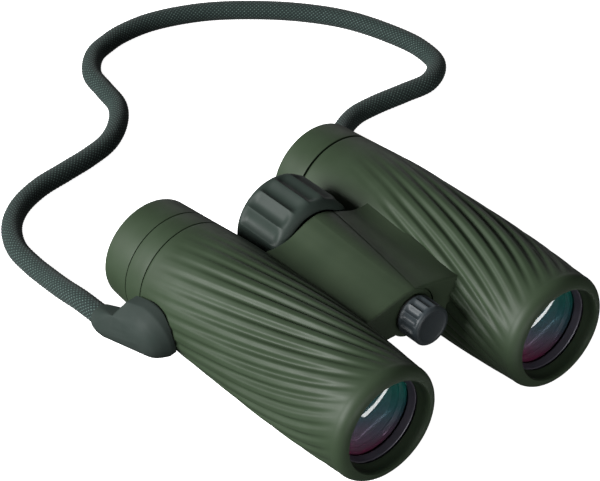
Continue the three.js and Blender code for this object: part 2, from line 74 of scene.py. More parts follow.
FRONT_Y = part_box("right_armour")[0].y / MM            # row Y of s = 0, the objective lip
AXIS_Z = centre_of("right_eyecup").z                  # height of the barrel axes
HALF_SPACING = (centre_of("left_eyecup").x - centre_of("right_eyecup").x) / 2
HINGE_HEIGHT = centre_of("tripod_cap").z - AXIS_Z     # hinge axis above the barrel axes
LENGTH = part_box("right_eyecup")[1].y / MM - FRONT_Y
GAP = 0.3                                             # clearance between neighbouring pieces

LIP_RADIUS = 16.5                                     # where the armour's front edge starts to curve outwards
FRONT_ROUNDING = 3.8
# the barrels' outline as (s, radius)
BODY_OUTLINE = [(3.8, 20.2), (22, 21.3), (42.5, 21.8), (64, 21.65), (85, 21.3), (103, 19.92), (LENGTH, 18.5)]
ARMOUR_END = {"right": 99.7, "left": 107.9}           # the right one ends at the diopter ring
DIOPTER_RING = (100, 108.4)
EYECUP_FRONT = 108.7

RIBS = 28
RIB_COLUMNS = 12                                      # mesh columns across one rib
RIB_DEPTH = 1.25
RIB_VALLEY = 0.64                                     # share of a rib's pitch that its valley takes
RIB_START = {"right": 115.6, "left": 80.8}            # degrees from +x, on the swirl's straight part at s = 0
RIB_RISE = (4, 38)                                    # the ribs deepen between these s values
RIB_FALL = (44, 98)                                   # and fade between these
SWIRL_RATE = 0.5                                      # degrees per millimetre on the swirl's straight part
SWIRL_BEND = 20.9                                     # degrees that its curved start is off that part,
SWIRL_START = 8                                       # at this s,
SWIRL_REACH = 22                                      # and the length in which that falls to about a third
PLAIN_AT = {"right": 14, "left": 166}                 # degrees from +x: the ribs stop here, beside the wheel
PLAIN_FROM = (64, 78)                                 # s values between which the ribs fade there
PLAIN_AROUND = (38, 72)                               # degrees either way between which they come back

WHEEL_FRONT = 78.1
WHEEL_RADIUS = 16.7
WHEEL_NOSE = (3.6, 4.6)                               # rounding of the wheel's front edge, across and along
WHEEL_FLUTES = (79.6, 99.5, 3.2)                      # from, to, and the length in which they fade in
WHEEL_FLUTE_DEPTH = 1.35
WHEEL_HOLLOW = 17.4                                   # radius that the armour keeps clear for the wheel
HOLLOW_ENDS = (73, 77.5, 102.2, 104)                  # it starts, is full, narrows again and ends
FLUTES = 16                                           # on the focus wheel and on the tripod cap alike
FLUTE_COLUMNS = 26                                    # mesh columns across one flute
FLUTE_EDGE = 116.5                                    # degrees from +x, where one flute's sharp edge lies

CAP_FRONT = 20.9
CAP_REAR = 29.6
CAP_RADIUS = 7.1
CAP_NOSE = 1.3
CAP_FLUTES = (21.8, 29.2, 1.6)
CAP_FLUTE_DEPTH = 0.7

BRIDGE_FRONT = 30.6
BRIDGE_REAR = 77.6
RIDGE = (8.9, 12.8)                                   # radius about the hinge axis, at the front and the rear
RIDGE_PLAY = 0.12                                     # between the ridge and the left cover's edge
RIDGE_CREST = 96                                      # degrees from +x: the right roof reaches the ridge here
RIDGE_OPEN = 34                                       # degrees: below this the ridge is open on the left side
WING_BOTTOM = 2.3
FRONT_EDGE = 0.9                                      # rounding of the covers' front and rear edges
REAR_EDGE = 0.35
# the bridge's roof as (x, z) from the barrel to the ridge, at the front and at the rear
RIGHT_ROOF = ([(-19.2, 13.9), (-14.4, 14.7), (-10.5, 15.7), (-6.6, 16.6), (-3.4, 17.2)],
              [(-22, 16.2), (-16.6, 16), (-11.5, 17), (-8, 18.7), (-5, 20.2)])
LEFT_ROOF = ([(19.6, 13.8), (16.4, 14.8), (13.5, 15.5), (9.5, 16.25), (4.5, 17.0), (1.2, 17.47)],
             [(23, 16.4), (19.5, 15.9), (15.8, 16.1), (13, 17), (10, 18.2), (7.2, 19.3)])
COVER_WALL = 1.3

LUG_S = 90
LUG_DROP = math.radians(13)                           # the lug points outwards and this far below level
SLEEVE_X = 25.2                                       # rope sleeve, from the barrel axis
SLEEVE_Z = -12.3
SLEEVE_RADIUS = 5.1
SLEEVE_JOIN = (109, 112)                              # the clip's body runs into its sleeve between these
SLEEVE_END = 116
CUFF_END = 114.3                                      # rear edge of the clip's sleeve
LUG_RADIUS = 9
LUG_TOP = 22                                          # top of the lug's flange, from the barrel axis
SKIRT = 19.2                                          # the clip's wall comes down to here around the flange
CLIP_ROOM = 21.9                                      # radius kept clear for the barrel under the clip
ROPE_RADIUS = 3.8

HINGE = (0, HINGE_HEIGHT)


# ---- numbers and outlines ----------------------------------------------------------------------------------
def to_row(points):
    """Points (x, s, z) in the optical frame, in millimetres, as row frame points in metres."""
    return (np.asarray(points, float) + (0, FRONT_Y, AXIS_Z)) * MM


def smooth(low, high, value):
    """0 below low and 1 above high, with a smooth step between."""
    t = np.clip((np.asarray(value, float) - low) / (high - low), 0, 1)
    return t * t * (3 - 2 * t)


def spline(knots, at):
    """A smooth curve through (x, y) knots, read at the values in at."""
    x, y = np.array(knots, float).T
    slope = np.gradient(y, x)
    i = np.clip(np.searchsorted(x, at) - 1, 0, len(x) - 2)
    h = x[i + 1] - x[i]
    t = np.clip((at - x[i]) / h, 0, 1)
    return ((2 * t**3 - 3 * t**2 + 1) * y[i] + (t**3 - 2 * t**2 + t) * h * slope[i]
            + (3 * t**2 - 2 * t**3) * y[i + 1] + (t**3 - t**2) * h * slope[i + 1])


def body_radius(s):
    """Radius of a barrel's skin at s, before its ribs are cut."""
    return spline(BODY_OUTLINE, np.asarray(s, float))


def rounded(corners, steps=4):
    """A closed outline of (a, b, rounding) corners, each a short curve, or sharp without a rounding."""
    points = np.array([c[:2] for c in corners], float)
    out = []
    for i, corner in enumerate(corners):
        here, before, after = points[i], points[i - 1], points[(i + 1) % len(points)]
        back, ahead = before - here, after - here
        back_length, ahead_length = np.linalg.norm(back), np.linalg.norm(ahead)
        rounding = corner[2] if len(corner) > 2 else 0
        reach = min(rounding, 0.45 * back_length, 0.45 * ahead_length)
        if reach == 0:
            out.append(here)
            continue
        start = here + back / back_length * reach
        end = here + ahead / ahead_length * reach
        for t in np.linspace(0, 1, steps + 1):
            out.append((1 - t) ** 2 * start + 2 * t * (1 - t) * here + t * t * end)
    return np.array(out)


def nose(radius, front, across, along, steps):
    """A round front edge as (radius, s) points, from the face to the wall."""
    return [(radius - across * (1 - math.sin(t)), front + along * (1 - math.cos(t)))
            for t in np.linspace(0, math.pi / 2, steps)]


def circle(radius, centre=(0, 0), steps=64):
    """Points (a, b) on a circle."""
    turn = np.linspace(0, 2 * math.pi, steps, endpoint=False)
    return [(centre[0] + radius * math.cos(t), centre[1] + radius * math.sin(t)) for t in turn]


def between(pair, s):
    """A value that goes evenly from the bridge's front to its rear, at s."""
    return pair[0] + (pair[1] - pair[0]) * (s - BRIDGE_FRONT) / (BRIDGE_REAR - BRIDGE_FRONT)


# ---- mesh building -----------------------------------------------------------------------------------------
def smooth_by_angle(obj, sharp=40):
    """Smooth shading, with edges sharper than this many degrees kept sharp."""
    obj.data.shade_smooth()
    obj.data.set_sharp_from_angle(angle=math.radians(sharp))


def mesh_object(name, points, faces, material, sharp=40):
    """An object from points in metres, cleaned, with its faces turned outwards."""
    mesh = bpy.data.meshes.new(name)
    mesh.from_pydata(np.asarray(points).tolist(), [], faces)
    bm = bmesh.new()
    bm.from_mesh(mesh)
    bmesh.ops.remove_doubles(bm, verts=bm.verts, dist=1e-7)
    bmesh.ops.dissolve_degenerate(bm, edges=bm.edges, dist=1e-7)
    bmesh.ops.recalc_face_normals(bm, faces=bm.faces)
    bm.to_mesh(mesh)
    bm.free()
    if material is not None:
        mesh.materials.append(material)
    obj = bpy.data.objects.new(name, mesh)
    bpy.context.scene.collection.objects.link(obj)
    smooth_by_angle(obj, sharp)
    return obj


def ring_faces(rows, columns, wrap_rows=True):
    """Quads of a grid whose columns close on themselves, and whose rows do too where wrap_rows says so."""
    faces = []
    for r in range(rows if wrap_rows else rows - 1):
        below, above = r * columns, ((r + 1) % rows) * columns
        for c in range(columns):
            d = (c + 1) % columns
            faces.append((below + c, below + d, above + d, above + c))
    return faces


def turned_points(profile, columns, centre=(0, 0)):
    """Grid (row, column) of points made by turning an outline of (radius, s) about an axis along s."""
    angle = np.linspace(0, 2 * math.pi, columns, endpoint=False)
    r, s = np.array(profile, float)[:, 0], np.array(profile, float)[:, 1]
    grid = np.empty((len(r), columns, 3))
    grid[..., 0] = centre[0] + r[:, None] * np.cos(angle)
    grid[..., 1] = s[:, None]
    grid[..., 2] = centre[1] + r[:, None] * np.sin(angle)
    return grid


def turned(name, corners, centre, material, columns=128, steps=4, sharp=40):
    """A solid made by turning rounded (radius, s) corners about an axis along s."""
    grid = turned_points(rounded(corners, steps), columns, centre)
    return mesh_object(name, to_row(grid.reshape(-1, 3)), ring_faces(len(grid), columns), material, sharp)


def lofted(name, sections, material, sharp=40):
    """A solid from a list of closed sections with equal point counts, each an array of (x, s, z)."""
    count = len(sections[0])
    faces = ring_faces(len(sections), count, wrap_rows=False)
    faces.append(tuple(range(count - 1, -1, -1)))
    last = (len(sections) - 1) * count
    faces.append(tuple(range(last, last + count)))
    return mesh_object(name, to_row(np.concatenate(sections)), faces, material, sharp)


def apply_modifiers(obj):
    """Makes the modifiers' result the object's own mesh."""
    graph = bpy.context.evaluated_depsgraph_get()
    mesh = bpy.data.meshes.new_from_object(obj.evaluated_get(graph))
    obj.modifiers.clear()
    obj.data = mesh


def carve(obj, cutter, operation="DIFFERENCE"):
    """Cuts or joins another object's solid, and removes that object."""
    modifier = obj.modifiers.new("carve", "BOOLEAN")
    modifier.operation = operation
    modifier.solver = "EXACT"
    modifier.object = cutter
    apply_modifiers(obj)
    bpy.data.objects.remove(cutter)


def finish_piece(obj, body, nodes):
    """Puts a piece on its body in place of its CAD nodes."""
    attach(obj, body)
    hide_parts(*nodes)


def barrel_centre(side):
    return (SIDES[side] * HALF_SPACING, 0)


# ---- materials ---------------------------------------------------------------------------------------------
class Surface:
    """A Principled material whose colour, roughness and bump come from noise in object space."""

    def __init__(self, name, roughness, metallic=0.0, **sockets):
        self.material = bpy.data.materials.new(name)
        self.material.use_nodes = True
        self.tree = self.material.node_tree
        self.shader = self.tree.nodes["Principled BSDF"]
        self.shader.inputs["Roughness"].default_value = roughness
        self.shader.inputs["Metallic"].default_value = metallic
        for socket, value in sockets.items():
            self.shader.inputs[socket.replace("_", " ")].default_value = value
        self.coordinates = self.tree.nodes.new("ShaderNodeTexCoord").outputs["Object"]

    def link(self, source, target):
        self.tree.links.new(source, target)
        return self

    def noise(self, size, detail=2.0, coordinates=None):
        """Noise whose patches are about size millimetres across."""
        node = self.tree.nodes.new("ShaderNodeTexNoise")
        node.inputs["Scale"].default_value = 1 / (size * MM)
        node.inputs["Detail"].default_value = detail
        self.link(coordinates or self.coordinates, node.inputs["Vector"])
        return node.outputs["Fac"]

    def ramp(self, factor, stops):
        node = self.tree.nodes.new("ShaderNodeValToRGB")
        ramp = node.color_ramp
        while len(ramp.elements) < len(stops):
            ramp.elements.new(0.5)
        for element, (at, colour) in zip(ramp.elements, stops):
            element.position = at
            element.color = (*colour, 1)
        self.link(factor, node.inputs["Fac"])
        return node.outputs["Color"]

    def range(self, factor, low, high):
        """A noise's middle range stretched to low and high."""
        node = self.tree.nodes.new("ShaderNodeMapRange")
        node.inputs["From Min"].default_value = 0.3
        node.inputs["From Max"].default_value = 0.7
        node.inputs["To Min"].default_value = low
        node.inputs["To Max"].default_value = high
        self.link(factor, node.inputs["Value"])
        return node.outputs["Result"]

    def math(self, operation, a, b):
        node = self.tree.nodes.new("ShaderNodeMath")
        node.operation = operation
        for socket, value in zip(node.inputs, (a, b)):
            if isinstance(value, (int, float)):
                socket.default_value = value
            else:
                self.link(value, socket)
        return node.outputs["Value"]

    def colour(self, source):
        return self.link(source, self.shader.inputs["Base Color"])

    def tones(self, size, dark, light):
        return self.colour(self.ramp(self.noise(size), [(0.3, dark), (0.7, light)]))

    def rough(self, size, low, high):
        return self.link(self.range(self.noise(size), low, high), self.shader.inputs["Roughness"])

    def bump(self, height, strength, depth):
        """Bump of depth millimetres from a height."""
        node = self.tree.nodes.new("ShaderNodeBump")
        node.inputs["Strength"].default_value = strength
        node.inputs["Distance"].default_value = depth * MM
        self.link(height, node.inputs["Height"])
        return self.link(node.outputs["Normal"], self.shader.inputs["Normal"])


def rubber(name, dark, light, rough, shine=0.22, grain=0.22, depth=0.02):
    """Soft rubber with slow changes of tone, and a fine grain of this size and depth in millimetres."""
    made = Surface(name, rough[1], Specular_IOR_Level=shine)
    made.tones(14, dark, light)
    made.rough(5, *rough)
    made.bump(made.noise(grain, 3), 0.35, depth)
    return made.material


def moulded(name, dark, light, rough, shine=0.22, grain=0.35, depth=0.015):
    """Moulded plastic, with a coarser and flatter grain than the rubber."""
    made = Surface(name, rough[1], Specular_IOR_Level=shine)
    made.tones(9, dark, light)
    made.rough(3, *rough)
    made.bump(made.noise(grain, 2), 0.3, depth)
    return made.material


def machined(name, dark, light, rough, metallic=1.0):
    """Turned metal, whose fine rings lie one behind another along the barrels."""
    made = Surface(name, rough[1], metallic)
    made.tones(6, dark, light)
    made.rough(2, *rough)
    mapping = made.tree.nodes.new("ShaderNodeMapping")
    mapping.inputs["Scale"].default_value = (0.05, 1, 0.05)
    made.link(made.coordinates, mapping.inputs["Vector"])
    made.bump(made.noise(0.25, 2, mapping.outputs["Vector"]), 0.4, 0.02)
    return made.material


def glass(name, tint):
    """Clear glass with a faint tint."""
    made = Surface(name, 0.0, Transmission_Weight=1.0, IOR=1.52, Specular_IOR_Level=0.3)
    made.tones(10, tint, tuple(min(1.0, c * 1.03) for c in tint))
    return made.material


# painted reflection: the colours that the lens coating reflects, painted into the glass, from low on the -x
# side to high on the +x side
PAINTED_REFLECTION = [(0.06, (0.24, 0.05, 0.12)), (0.22, (0.20, 0.13, 0.20)), (0.40, (0.12, 0.15, 0.20)),
           (0.60, (0.05, 0.17, 0.19)), (0.85, (0.02, 0.19, 0.15))]
PAINTED_REFLECTION_SPAN = 26                                     # millimetres over which they pass


def coated(name, period):
    """Glass with painted reflection: the colours its coating reflects drift across it, the same on glasses
    that stand period apart in x.
    """
    made = Surface(name, 0.03, Transmission_Weight=0.72, IOR=1.5, Specular_IOR_Level=0.6)
    across = made.tree.nodes.new("ShaderNodeSeparateXYZ")
    made.link(made.coordinates, across.inputs["Vector"])
    x = made.math("SUBTRACT", made.math("FLOORED_MODULO", across.outputs["X"], period * MM), period / 2 * MM)
    z = made.math("SUBTRACT", across.outputs["Z"], AXIS_Z * MM)
    height = made.math("ADD", made.math("MULTIPLY", z, 0.8), made.math("MULTIPLY", x, 0.35))
    drift = made.math("MULTIPLY", made.math("SUBTRACT", made.noise(9, 1), 0.5), 0.25)
    share = made.math("MULTIPLY", height, 1 / (PAINTED_REFLECTION_SPAN * MM))
    level = made.math("ADD", made.math("ADD", share, 0.5), drift)
    # painted reflection: the coating's reflected colours go into the base colour, by height across the glass
    made.colour(made.ramp(level, PAINTED_REFLECTION))
    return made.material


MATERIALS = {
    "armour": rubber("armour_rubber", (0.019, 0.030, 0.016), (0.023, 0.0355, 0.020), (0.48, 0.54), 0.17),
    "bridge_skin": rubber("bridge_rubber", (0.022, 0.033, 0.019), (0.026, 0.038, 0.022), (0.46, 0.52), 0.16),
    "wheel_rubber": rubber("wheel_rubber", (0.014, 0.021, 0.0175), (0.018, 0.026, 0.022), (0.52, 0.58), 0.18),
    "knob_rubber": rubber("knob_rubber", (0.017, 0.022, 0.025), (0.021, 0.027, 0.030), (0.46, 0.52), 0.28),
    "clip_plastic": moulded("clip_plastic", (0.018, 0.025, 0.022), (0.022, 0.029, 0.026), (0.60, 0.66), 0.08),
    "dark_plastic": moulded("dark_plastic", (0.009, 0.012, 0.011), (0.013, 0.016, 0.015), (0.42, 0.52)),
    "black_plastic": moulded("black_plastic", (0.004, 0.004, 0.005), (0.007, 0.007, 0.008), (0.35, 0.45)),
    "black_metal": machined("black_metal", (0.046, 0.043, 0.057), (0.060, 0.056, 0.074), (0.34, 0.46), 0.3),
    "alloy": machined("alloy", (0.05, 0.05, 0.055), (0.08, 0.08, 0.085), (0.34, 0.46), 0.7),
    "brass": machined("brass", (0.55, 0.38, 0.16), (0.66, 0.47, 0.22), (0.24, 0.34)),
    "seal_rubber": rubber("seal_rubber", (0.006, 0.006, 0.006), (0.011, 0.011, 0.011), (0.6, 0.75)),
    # lens glass with painted reflection in its base colour
    "coated_glass": coated("coated_glass", 2 * HALF_SPACING),
    "clear_glass": glass("clear_glass", (0.80, 0.72, 0.82)),
}

# ---- camera ------------------------------------------------------------------------------------------------
AIM = Vector((-0.00659, 0.01749, 0.03528))
CAMERA_BACK = Vector((-0.52251, -0.62210, 0.58308))
CAMERA_RIGHT = Vector((0.76753, -0.64100, 0.00390))
CAMERA_DISTANCE = 0.8273
FOCAL_LENGTH = 152.32

camera = bpy.data.objects.new("camera", bpy.data.cameras.new("camera"))
camera.data.lens = FOCAL_LENGTH
camera.data.sensor_width = 36
camera.data.clip_start = 0.01
camera_axes = Matrix((CAMERA_RIGHT, CAMERA_BACK.cross(CAMERA_RIGHT), CAMERA_BACK)).transposed()
camera_place = Matrix.Translation(AIM + CAMERA_BACK * CAMERA_DISTANCE)
camera.matrix_world = camera_place @ camera_axes.to_4x4()
bpy.context.scene.collection.objects.link(camera)
bpy.context.scene.camera = camera


# ---- strap rope --------------------------------------------------------------------------------------------
SLEEVE_AT = (HALF_SPACING + SLEEVE_X) * MM
ROPE_Y0 = (SLEEVE_END + 0.4 + FRONT_Y) * MM
SLEEVE_HEIGHT = (AXIS_Z + SLEEVE_Z) * MM
LAY = (ROPE_RADIUS + 0.05) * MM
# the route's points, in metres in the row frame, as in the CAD part
ROPE_ROUTE = [
    (-SLEEVE_AT, ROPE_Y0, SLEEVE_HEIGHT), (-0.061, 0.0662, 0.0089), (-0.0605, 0.0763, 0.0072),
    (-0.0592, 0.0882, 0.005), (-0.0585, 0.0978, 0.0041), (-0.0568, 0.1099, LAY), (-0.0509, 0.1214, LAY),
    (-0.042, 0.1296, LAY), (-0.030, 0.135, LAY), (-0.0162, 0.1376, LAY), (-0.0042, 0.1398, LAY),
    (0.0069, 0.1434, LAY), (0.0173, 0.1513, LAY), (0.0242, 0.1609, LAY), (0.0271, 0.173, LAY),
    (0.0301, 0.185, LAY), (0.0392, 0.1958, LAY), (0.0487, 0.200, LAY), (0.0573, 0.202, LAY),
    (0.0715, 0.2018, LAY), (0.0907, 0.1953, LAY), (0.1066, 0.1845, LAY), (0.1212, 0.1701, LAY),
    (0.132, 0.1535, LAY), (0.1383, 0.1327, LAY), (0.1396, 0.1195, LAY), (0.1364, 0.1068, LAY),
    (0.1258, 0.0994, LAY), (0.113, 0.0994, LAY), (0.0997, 0.100, LAY), (0.088, 0.0988, 0.0041),
    (0.0755, 0.092, 0.005), (0.0658, 0.0805, 0.0069), (0.0618, 0.069, 0.0087),
    (SLEEVE_AT, ROPE_Y0, SLEEVE_HEIGHT),
]
ROPE_TUCK = 0.004                                     # how far the rope goes on inside each sleeve
ROPE_STEP = 0.00035
ROPE_COLUMNS = 96
BRAID_STRANDS = 16                                    # strands each way round
BRAID_PITCH = 0.026                                   # how far along the rope one strand goes round once
BRAID_RELIEF = 0.00016
# tones of the cover yarn with painted shade, from the dark gaps of the braid to the light crests of its
# strands
YARN_AND_BRAID_SHADE = [(0.20, (0.005, 0.010, 0.009)), (0.44, (0.010, 0.019, 0.017)), (0.68, (0.022, 0.038, 0.034)),
        (0.90, (0.13, 0.20, 0.18))]


def centripetal(points, per_span=40):
    """A dense centripetal Catmull-Rom curve through the points."""
    points = [np.array(p, float) for p in points]
    points = [2 * points[0] - points[1], *points, 2 * points[-1] - points[-2]]
    out = []
    for p0, p1, p2, p3 in zip(points, points[1:], points[2:], points[3:]):
        t0 = 0.0
        t1 = t0 + np.linalg.norm(p1 - p0) ** 0.5
        t2 = t1 + np.linalg.norm(p2 - p1) ** 0.5
        t3 = t2 + np.linalg.norm(p3 - p2) ** 0.5
        t = np.linspace(t1, t2, per_span, endpoint=False)[:, None]
        a1 = (t1 - t) / (t1 - t0) * p0 + (t - t0) / (t1 - t0) * p1
        a2 = (t2 - t) / (t2 - t1) * p1 + (t - t1) / (t2 - t1) * p2
        a3 = (t3 - t) / (t3 - t2) * p2 + (t - t2) / (t3 - t2) * p3
        b1 = (t2 - t) / (t2 - t0) * a1 + (t - t0) / (t2 - t0) * a2
        b2 = (t3 - t) / (t3 - t1) * a2 + (t - t1) / (t3 - t1) * a3
        out.append((t2 - t) / (t2 - t1) * b1 + (t - t1) / (t2 - t1) * b2)
    return np.vstack([*out, points[-2][None]])


def evenly(points, step):
    """The curve through the points cut into even steps, and its length."""
    lengths = np.concatenate([[0], np.cumsum(np.linalg.norm(np.diff(points, axis=0), axis=1))])
    at = np.linspace(0, lengths[-1], int(round(lengths[-1] / step)) + 1)
    return np.stack([np.interp(at, lengths, points[:, k]) for k in range(3)], 1), lengths[-1]


def rope_material():
    """Cover yarn with painted shade: dark in the braid's gaps and light on its crests, with fine fibres."""
    made = Surface("braided_rope", 0.8, Specular_IOR_Level=0.15, Sheen_Weight=0.05, Sheen_Roughness=0.6)
    relief = made.tree.nodes.new("ShaderNodeAttribute")
    relief.attribute_name = "braid"
    height = relief.outputs["Fac"]
    fibre = made.noise(0.45, 3)
    # painted shade: the braid's height darkens the yarn in its gaps and lightens it on its crests
    level = made.math("ADD", made.math("MULTIPLY", height, 0.75), made.math("MULTIPLY", fibre, 0.4))
    made.colour(made.ramp(level, YARN_AND_BRAID_SHADE))
    made.bump(made.noise(0.25, 3), 0.5, 0.05)
    return made.material


def braid_height(rows):
    """Grid (row, column) around the rope: 1 where strands of both directions crest, 0 in the gaps."""
    angle = np.linspace(0, 2 * math.pi, ROPE_COLUMNS, endpoint=False)[None, :]
    along = (np.arange(rows) * ROPE_STEP / BRAID_PITCH * 2 * math.pi)[:, None]
    one_way = BRAID_STRANDS * (angle + along) / 2
    other_way = BRAID_STRANDS * (angle - along) / 2
    return (np.sin(one_way) * np.sin(other_way)) ** 2


def strap_rope():
    dense = centripetal(ROPE_ROUTE)
    tuck = np.array([0, -ROPE_TUCK, 0])
    path, length = evenly(np.vstack([dense[0] + tuck, dense, dense[-1] + tuck]), ROPE_STEP)
    tangent = np.gradient(path, axis=0)
    tangent /= np.linalg.norm(tangent, axis=1)[:, None]
    side = np.cross(tangent, (0, 0, 1))
    side /= np.linalg.norm(side, axis=1)[:, None]
    over = np.cross(side, tangent)
    angle = np.linspace(0, 2 * math.pi, ROPE_COLUMNS, endpoint=False)[:, None]
    spokes = np.cos(angle) * side[:, None] + np.sin(angle) * over[:, None]
    braid = braid_height(len(path))
    radius = ROPE_RADIUS * MM - BRAID_RELIEF * (1 - braid)
    points = path[:, None] + radius[..., None] * spokes
    faces = ring_faces(len(path), ROPE_COLUMNS, wrap_rows=False)
    faces.append(tuple(range(ROPE_COLUMNS - 1, -1, -1)))
    faces.append(tuple(range((len(path) - 1) * ROPE_COLUMNS, len(path) * ROPE_COLUMNS)))
    mesh = bpy.data.meshes.new("strap_rope_braid")
    mesh.from_pydata(points.reshape(-1, 3).tolist(), [], faces)
    mesh.attributes.new("braid", "FLOAT", "POINT").data.foreach_set("value", braid.astype(np.float32).ravel())
    mesh.shade_smooth()
    mesh.materials.append(rope_material())
    rope = bpy.data.objects.new("strap_rope_braid", mesh)
    bpy.context.scene.collection.objects.link(rope)
    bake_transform(rope)
    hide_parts("strap_rope")


strap_rope()

# ---- armour: ribbed rubber sleeves -------------------------------------------------------------------------
def swirl(s):
    """How far a rib has turned round its barrel at s, in degrees: quickly at first, then steadily."""
    return SWIRL_RATE * s - SWIRL_BEND * np.exp(-(s - SWIRL_START) / SWIRL_REACH)


def rib_fade(s):
    """0 where the armour is plain and 1 where its ribs are full."""
    rise = np.sin(np.clip((s - RIB_RISE[0]) / (RIB_RISE[1] - RIB_RISE[0]), 0, 1) * math.pi / 2)
    fall = np.clip((RIB_FALL[1] - s) / (RIB_FALL[1] - RIB_FALL[0]), 0, 1) ** 1.1
    return rise * np.where(s > RIB_FALL[0], fall, 1)


def rib_valley(side, s, angle):
    """0 on a rib's crest and 1 in the valley beside it."""
    turn = angle - RIB_START[side] + SIDES[side] * swirl(s)
    share = (turn / (360 / RIBS) + 0.5) % 1 - 0.5
    across = np.clip(np.abs(share) * 2 / RIB_VALLEY, 0, 1)
    return (1 - across**2) ** 1.5


def beside_wheel(side, s, angle):
    """1 where the armour faces the focus wheel, falling to 0 around it."""
    away = np.abs((angle - PLAIN_AT[side] + 180) % 360 - 180)
    return smooth(*PLAIN_FROM, s) * (1 - smooth(*PLAIN_AROUND, away))


def armour_profile(side):
    """The sleeve's outer and inner outline as (radius, s), from the lip backwards and forwards again."""
    end = ARMOUR_END[side]
    front = nose(LIP_RADIUS + FRONT_ROUNDING, 0, FRONT_ROUNDING, FRONT_ROUNDING, 9)
    s = np.linspace(FRONT_ROUNDING, end - 0.3, int((end - FRONT_ROUNDING) / 0.6))[1:]
    outer = np.vstack([front, np.stack([body_radius(s), s], 1)])
    back = body_radius(np.array([end]))[0]
    rear = [(back - 0.1, end - 0.1), (back - 0.3, end), (18.6, end), (18.3, end - 0.3)]
    bore = [(18.2, 93.7), (19.2, 84), (19.2, 4.9), (19.0, 4.8)]
    hood = [(15.4, 4.8), (15.2, 4.7), (15.25, 4.5), (15.6, 3.6), (15.95, 2.6), (16.1, 1.4), (16.2, 0.5)]
    return outer, np.array(rear + bore + hood)


def clear_of_wheel(x, z, s):
    """The points moved away from the hinge axis, to leave the hollow that the focus wheel turns in."""
    away = np.hypot(x, z - HINGE_HEIGHT)
    start, full, last, end = HOLLOW_ENDS
    room = WHEEL_HOLLOW * smooth(start, full, s) * (1 - smooth(last, end, s))
    push = np.maximum(room, away) / away
    return x * push, HINGE_HEIGHT + (z - HINGE_HEIGHT) * push


def armour(side):
    outer, inner = armour_profile(side)
    profile = np.vstack([outer, inner])
    columns = RIBS * RIB_COLUMNS
    grid = turned_points(profile, columns)
    s = profile[:, 1][:, None]
    angle = np.linspace(0, 360, columns, endpoint=False)[None, :]
    fade = rib_fade(s) * (1 - beside_wheel(side, s, angle))
    fade[len(outer):] = 0
    radius = profile[:, 0][:, None] - RIB_DEPTH * fade * rib_valley(side, s, angle)
    grid[..., 0] = radius * np.cos(np.radians(angle)) + SIDES[side] * HALF_SPACING
    grid[..., 2] = radius * np.sin(np.radians(angle))
    skin = grid[:len(outer)]
    skin[..., 0], skin[..., 2] = clear_of_wheel(skin[..., 0], skin[..., 2], skin[..., 1])
    faces = ring_faces(len(grid), columns)
    made = mesh_object(f"{side}_ribbed_armour", to_row(grid.reshape(-1, 3)), faces, MATERIALS["armour"], 50)
    finish_piece(made, f"{side}_barrel", [f"{side}_armour"])


for barrel in SIDES:
    armour(barrel)


# ---- eyecups and diopter ring ------------------------------------------------------------------------------
def eyecup(side):
    rim = LENGTH - 0.02
    front = EYECUP_FRONT
    wall = [(17.2, front, 0.1), (body_radius(front), front, 0.3), (body_radius(115), 115, 2)]
    lip = [(body_radius(rim), rim, 1.6), (16.6, rim, 0.8), (14.6, rim - 0.4, 0.6), (14.2, rim - 1.2, 0.3),
           (17.2, rim - 1.2, 0.1)]
    made = turned(f"{side}_eyecup_rubber", wall + lip, barrel_centre(side), MATERIALS["armour"], 160, 6)
    finish_piece(made, f"{side}_eyecup", [f"{side}_eyecup"])
    sleeve = [(15.9, 101.3, 0.2), (16.9, 101.3, 0.2), (16.9, 120, 0.2), (15.9, 120, 0.2)]
    made = turned(f"{side}_twist_sleeve", sleeve, barrel_centre(side), MATERIALS["black_plastic"], 96)
    finish_piece(made, f"{side}_eyecup", [f"{side}_eyecup_sleeve"])


def diopter_ring():
    front, rear = DIOPTER_RING
    middle = (front + rear) / 2
    corners = [(17.9, front, 0.1), (body_radius(front), front, 0.3), (body_radius(middle), middle, 1),
               (body_radius(rear), rear, 0.3), (17.9, rear, 0.1)]
    made = turned("diopter_ring_rubber", corners, barrel_centre("right"), MATERIALS["armour"], 160)
    finish_piece(made, "diopter_ring", ["diopter_ring"])


for barrel in SIDES:
    eyecup(barrel)
diopter_ring()


# ---- objective: ring, cell and glass -----------------------------------------------------------------------
def lens_corners(radius, s0, s1, front, rear, steps=10):
    """Outline of a glass from its edge positions and how far its faces bulge out at the middle."""
    k = np.linspace(0, 1, steps + 1)
    first = np.stack([radius * k, s0 - front * (1 - k * k)], 1)
    second = np.stack([radius * k[::-1], s1 + rear * (1 - k[::-1] ** 2)], 1)
    return [tuple(p) for p in np.vstack([first, second])]


def objective(side):
    centre = barrel_centre(side)
    body = f"{side}_barrel"
    ring = [(14.2, 7.6, 0.1), (15.0, 5.6, 0.3), (15.35, 5.4, 0.1), (15.4, 5.9, 0.05), (15.65, 5.9, 0.05),
            (15.7, 5.4, 0.1), (17, 5.4, 0.2), (17, 8, 0.2), (14.2, 8, 0.2)]
    made = turned(f"{side}_threaded_ring", ring, centre, MATERIALS["black_metal"], 160)
    finish_piece(made, body, [f"{side}_retaining_ring"])
    crown = lens_corners(15, 8.9, 12.7, 2.2, 1.5)
    made = turned(f"{side}_crown_glass", crown, centre, MATERIALS["coated_glass"], 128)
    finish_piece(made, body, [f"{side}_objective_crown"])


for barrel in SIDES:
    objective(barrel)


